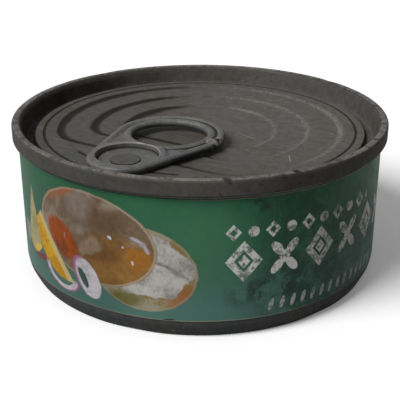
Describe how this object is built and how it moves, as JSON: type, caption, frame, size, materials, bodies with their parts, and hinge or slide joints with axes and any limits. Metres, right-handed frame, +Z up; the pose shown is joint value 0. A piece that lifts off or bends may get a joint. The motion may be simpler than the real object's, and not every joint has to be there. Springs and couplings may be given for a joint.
{
  "type": "can of pork",
  "caption": "Low wide round food can, closed by a double-seamed easy-open lid with a ring-pull tab, wrapped in a printed label with a picture of sliced meat.",
  "frame": {"origin": "centre of the standing ring, on the plane that the can stands on", "axes": "+Z up along the can's axis; -Y towards the nose of the pull tab; +X to the tab's right seen from the nose's side"},
  "size_m": [0.102, 0.102, 0.0421],
  "materials": {
    "can_metal": "dull grey tinplate, scuffed along the bottom corner",
    "label_print": "printed wrap, satin, green over teal with a food picture and rows of pale ornament",
    "lid_metal": "dull grey-brown stamped sheet with fine scratches",
    "tab_metal": "dull grey-brown curled sheet with rubbed edges"
  },
  "bodies": {
    "root": {"can_body": "can_metal", "label": "label_print", "lid": "lid_metal", "pull_tab": "tab_metal"}
  },
  "joints": []
}
